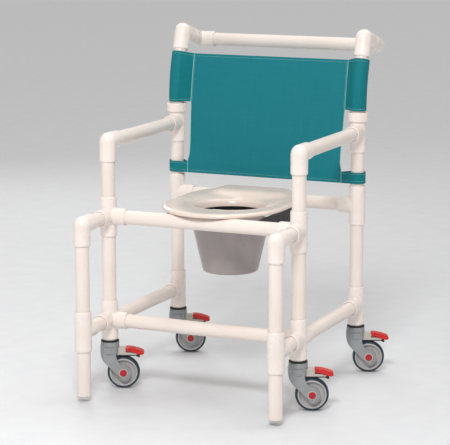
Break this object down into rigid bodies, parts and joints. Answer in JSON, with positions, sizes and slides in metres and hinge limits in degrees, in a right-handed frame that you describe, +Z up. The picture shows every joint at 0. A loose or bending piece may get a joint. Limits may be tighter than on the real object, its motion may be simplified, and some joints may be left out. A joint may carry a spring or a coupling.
{
  "type": "commode chair",
  "caption": "Wheeled commode chair with a plastic tube frame, fabric back, lift-up oval seat, slide-out pail, braked swivel casters and fixed front legs.",
  "frame": {"origin": "on the floor under the centre of the overall box; the midplane between the posts is 34.6 mm to -X of it, because all four casters trail towards +X", "axes": "+X to the sitter's left as seen from the front, +Y from the front legs towards the push bar, +Z up"},
  "size_m": [0.7554, 0.8694, 1.0814],
  "materials": {
    "pvc": "satin gloss",
    "sling_fabric": "woven vinyl-coated mesh",
    "seat_plastic": "moulded, glossy",
    "pail_plastic": "moulded, satin",
    "runner_plastic": "extruded, satin",
    "pin_steel": "drawn rod",
    "caster_plastic": "moulded, fine satin",
    "wheel_plastic": "moulded, satin",
    "tread_rubber": "smooth tread",
    "pedal_plastic": "moulded, satin gloss"
  },
  "bodies": {
    "frame": {"front_post_left": "pvc", "front_post_right": "pvc", "leg_tube_left": "pvc", "leg_tube_right": "pvc", "side_base_rail_left": "pvc", "side_base_rail_right": "pvc", "armrest_left": "pvc", "armrest_right": "pvc", "rear_post_left": "pvc", "rear_post_right": "pvc", "base_cross_left": "pvc", "base_cross_right": "pvc", "seat_cross_left": "pvc", "seat_cross_right": "pvc", "arm_elbow_left": "pvc", "arm_elbow_right": "pvc", "rear_base_tee_left": "pvc", "rear_base_tee_right": "pvc", "rear_seat_tee_left": "pvc", "rear_seat_tee_right": "pvc", "arm_tee_left": "pvc", "arm_tee_right": "pvc", "leg_elbow_left": "pvc", "leg_elbow_right": "pvc", "leg_tee_left": "pvc", "leg_tee_right": "pvc", "back_elbow_left": "pvc", "back_elbow_right": "pvc", "push_bar_elbow_left": "pvc", "push_bar_elbow_right": "pvc", "back_collar_left": "pvc", "back_collar_right": "pvc", "front_base_rail": "pvc", "front_seat_rail": "pvc", "rear_seat_rail": "pvc", "push_bar": "pvc", "back_sling": "sling_fabric", "seat_hinge_clip": "seat_plastic", "seat_hinge_pin": "pin_steel", "pail_runner_left": "runner_plastic", "pail_runner_right": "runner_plastic", "runner_tie": "runner_plastic"},
    "seat": {"commode_seat": "seat_plastic"},
    "pail": {"pail": "pail_plastic"},
    "fork_front_left": {"caster_fork_front_left": "caster_plastic"},
    "wheel_front_left": {"caster_wheel_front_left": "wheel_plastic", "caster_tyre_front_left": "tread_rubber"},
    "pedal_front_left": {"brake_pedal_front_left": "pedal_plastic"},
    "fork_front_right": {"caster_fork_front_right": "caster_plastic"},
    "wheel_front_right": {"caster_wheel_front_right": "wheel_plastic", "caster_tyre_front_right": "tread_rubber"},
    "pedal_front_right": {"brake_pedal_front_right": "pedal_plastic"},
    "fork_rear_left": {"caster_fork_rear_left": "caster_plastic"},
    "wheel_rear_left": {"caster_wheel_rear_left": "wheel_plastic", "caster_tyre_rear_left": "tread_rubber"},
    "pedal_rear_left": {"brake_pedal_rear_left": "pedal_plastic"},
    "fork_rear_right": {"caster_fork_rear_right": "caster_plastic"},
    "wheel_rear_right": {"caster_wheel_rear_right": "wheel_plastic", "caster_tyre_rear_right": "tread_rubber"},
    "pedal_rear_right": {"brake_pedal_rear_right": "pedal_plastic"}
  },
  "joints": [
    {"name": "seat_hinge", "type": "hinge", "parent": "frame", "child": "seat", "pos_m": [-0.03465, 0.20798, 0.568], "axis": [-1, 0, 0], "range_deg": [0, 80]},
    {"name": "pail_slide", "type": "slide", "parent": "frame", "child": "pail", "axis": [0, 1, 0], "range_m": [0, 0.4]},
    {"name": "swivel_front_left", "type": "hinge", "parent": "frame", "child": "fork_front_left", "pos_m": [-0.34565, -0.23802, 0.15], "axis": [0, 0, 1], "continuous": true},
    {"name": "wheel_spin_front_left", "type": "hinge", "parent": "fork_front_left", "child": "wheel_front_left", "pos_m": [-0.30826, -0.22122, 0.05], "axis": [-0.4099, 0.9121, 0], "continuous": true},
    {"name": "brake_front_left", "type": "hinge", "parent": "fork_front_left", "child": "pedal_front_left", "pos_m": [-0.2964, -0.21589, 0.119], "axis": [-0.4099, 0.9121, 0], "range_deg": [0, 12]},
    {"name": "swivel_front_right", "type": "hinge", "parent": "frame", "child": "fork_front_right", "pos_m": [0.27635, -0.23802, 0.15], "axis": [0, 0, 1], "continuous": true},
    {"name": "wheel_spin_front_right", "type": "hinge", "parent": "fork_front_right", "child": "wheel_front_right", "pos_m": [0.31374, -0.22122, 0.05], "axis": [-0.4099, 0.9121, 0], "continuous": true},
    {"name": "brake_front_right", "type": "hinge", "parent": "fork_front_right", "child": "pedal_front_right", "pos_m": [0.3256, -0.21589, 0.119], "axis": [-0.4099, 0.9121, 0], "range_deg": [0, 12]},
    {"name": "swivel_rear_left", "type": "hinge", "parent": "frame", "child": "fork_rear_left", "pos_m": [-0.34565, 0.24598, 0.15], "axis": [0, 0, 1], "continuous": true},
    {"name": "wheel_spin_rear_left", "type": "hinge", "parent": "fork_rear_left", "child": "wheel_rear_left", "pos_m": [-0.30826, 0.26278, 0.05], "axis": [-0.4099, 0.9121, 0], "continuous": true},
    {"name": "brake_rear_left", "type": "hinge", "parent": "fork_rear_left", "child": "pedal_rear_left", "pos_m": [-0.2964, 0.26811, 0.119], "axis": [-0.4099, 0.9121, 0], "range_deg": [0, 12]},
    {"name": "swivel_rear_right", "type": "hinge", "parent": "frame", "child": "fork_rear_right", "pos_m": [0.27635, 0.24598, 0.15], "axis": [0, 0, 1], "continuous": true},
    {"name": "wheel_spin_rear_right", "type": "hinge", "parent": "fork_rear_right", "child": "wheel_rear_right", "pos_m": [0.31374, 0.26278, 0.05], "axis": [-0.4099, 0.9121, 0], "continuous": true},
    {"name": "brake_rear_right", "type": "hinge", "parent": "fork_rear_right", "child": "pedal_rear_right", "pos_m": [0.3256, 0.26811, 0.119], "axis": [-0.4099, 0.9121, 0], "range_deg": [0, 12]}
  ]
}
